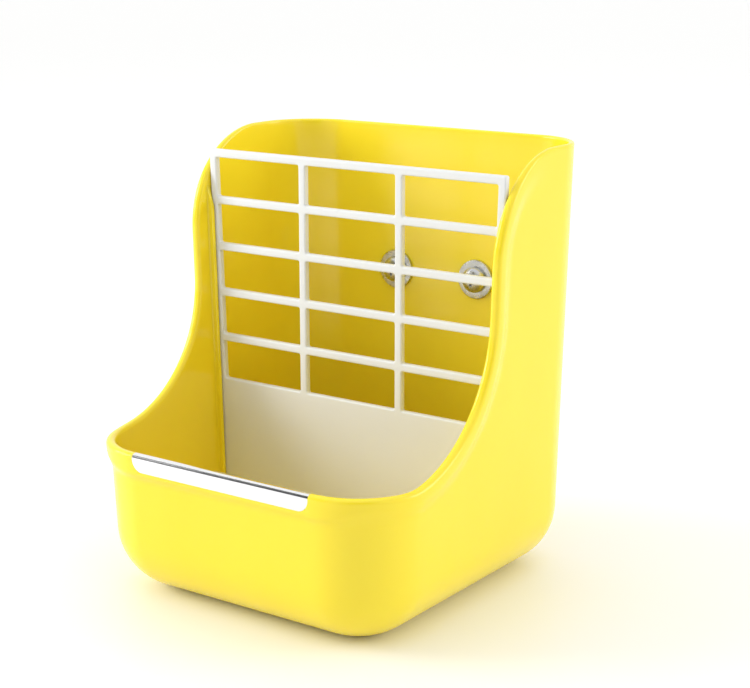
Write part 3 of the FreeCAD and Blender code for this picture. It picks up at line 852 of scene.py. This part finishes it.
def build_clamps(material):
    hole = SCREW_RADIUS + WASHER_GAP
    for side in ("left", "right"):
        screw_low, screw_high = node_box(f"clamp_screw_{side}")
        washer_low, washer_high = node_box(f"inner_washer_{side}")
        cage_low, cage_high = node_box(f"cage_washer_{side}")
        nut_low, nut_high = node_box(f"wing_nut_{side}")
        across, up = (screw_low.x + screw_high.x) / 2, (screw_low.z + screw_high.z) / 2
        seat = (across, washer_low.y, up)
        place_piece(screw_mesh(f"cross_head_screw_{side}", seat, screw_high.y - washer_low.y), "shell",
                    material, f"clamp_screw_{side}")
        place_piece(washer_mesh(f"head_washer_{side}", seat, washer_high.x - across,
                                washer_high.y - washer_low.y, hole),
                    "shell", material, f"inner_washer_{side}")
        place_piece(washer_mesh(f"wide_washer_{side}", (across, cage_low.y, up),
                                cage_high.x - across, cage_high.y - cage_low.y, hole),
                    f"clamp_{side}", material, f"cage_washer_{side}")
        place_piece(wing_nut_mesh(f"cast_wing_nut_{side}", nut_low, nut_high), f"nut_{side}",
                    material, f"wing_nut_{side}")


place_piece(build_shell(), "shell", yellow_plastic(), "body_shell")
place_piece(build_strip(), "shell", polished_steel(), "anti_chew_strip")
place_piece(build_grille(), "grille", white_plastic(), "hay_grille")
build_clamps(zinc_steel())


# ---------------------------------------------------------------- studio

def studio_floor():
    size = 12.0
    mesh = bpy.data.meshes.new("floor")
    mesh.from_pydata([(-size, -size, 0), (size, -size, 0), (size, size, 0), (-size, size, 0)], [],
                     [(0, 1, 2, 3)])
    floor = bpy.data.objects.new("floor", mesh)
    bpy.context.scene.collection.objects.link(floor)
    material, _, shader = new_material("pale_floor")
    shader.inputs["Base Color"].default_value = (0.93, 0.93, 0.92, 1)
    shader.inputs["Roughness"].default_value = 0.5
    floor.data.materials.append(material)


def area_light(name, place, aim, size, power):
    """A soft rectangular light that the camera does not see."""
    light = bpy.data.lights.new(name, "AREA")
    light.shape = "RECTANGLE"
    light.size, light.size_y = size
    light.energy = power
    lamp = bpy.data.objects.new(name, light)
    bpy.context.scene.collection.objects.link(lamp)
    lamp.location = place
    lamp.rotation_euler = (Vector(aim) - Vector(place)).to_track_quat("-Z", "Y").to_euler()
    lamp.visible_camera = False


def dark_card(name, place, aim, size, shades):
    """A black card that reflections see, and that also takes light away when it shades."""
    mesh = bpy.data.meshes.new(name)
    half, low = size[0] / 2, size[1] / 2
    mesh.from_pydata([(-half, -low, 0), (half, -low, 0), (half, low, 0), (-half, low, 0)], [],
                     [(0, 1, 2, 3)])
    card = bpy.data.objects.new(name, mesh)
    bpy.context.scene.collection.objects.link(card)
    material, _, shader = new_material(name)
    shader.inputs["Base Color"].default_value = (0.01, 0.01, 0.012, 1)
    shader.inputs["Roughness"].default_value = 1.0
    card.data.materials.append(material)
    card.location = place
    card.rotation_euler = (Vector(aim) - Vector(place)).to_track_quat("-Z", "Y").to_euler()
    card.visible_camera = False
    card.visible_diffuse = shades
    card.visible_shadow = shades


def studio_light():
    world = bpy.data.worlds.new("studio")
    world.use_nodes = True
    background = world.node_tree.nodes["Background"]
    background.inputs["Color"].default_value = (1, 1, 1, 1)
    background.inputs["Strength"].default_value = 1.06
    bpy.context.scene.world = world
    aim = (0, 0, 0.09)
    area_light("left_light", (-1.30, -0.75, 0.65), aim, (0.8, 0.8), 16)
    area_light("right_light", (1.25, 0.85, 0.60), aim, (0.8, 0.8), 6.5)
    dark_card("line_card", (-0.85, -1.00, 0.66), aim, (1.7, 1.15), shades=False)
    dark_card("front_card", (0.52, -0.74, 0.42), aim, (0.75, 0.6), shades=True)
    bpy.context.scene.view_settings.view_transform = "Standard"


def studio_camera():
    azimuth, elevation = math.radians(35.379), math.radians(13.611)
    target = Vector((0.0127, 0.0089, 0.1034))
    distance = 0.733
    towards = Vector((-math.sin(azimuth) * math.cos(elevation), math.cos(azimuth) * math.cos(elevation),
                      -math.sin(elevation)))
    camera = bpy.data.cameras.new("camera")
    camera.sensor_fit = "HORIZONTAL"
    camera.sensor_width = 36.0
    camera.lens = 81.5
    holder = bpy.data.objects.new("camera", camera)
    bpy.context.scene.collection.objects.link(holder)
    holder.location = target - towards * distance
    holder.rotation_euler = towards.to_track_quat("-Z", "Y").to_euler()
    bpy.context.scene.camera = holder


studio_floor()
studio_light()
studio_camera()
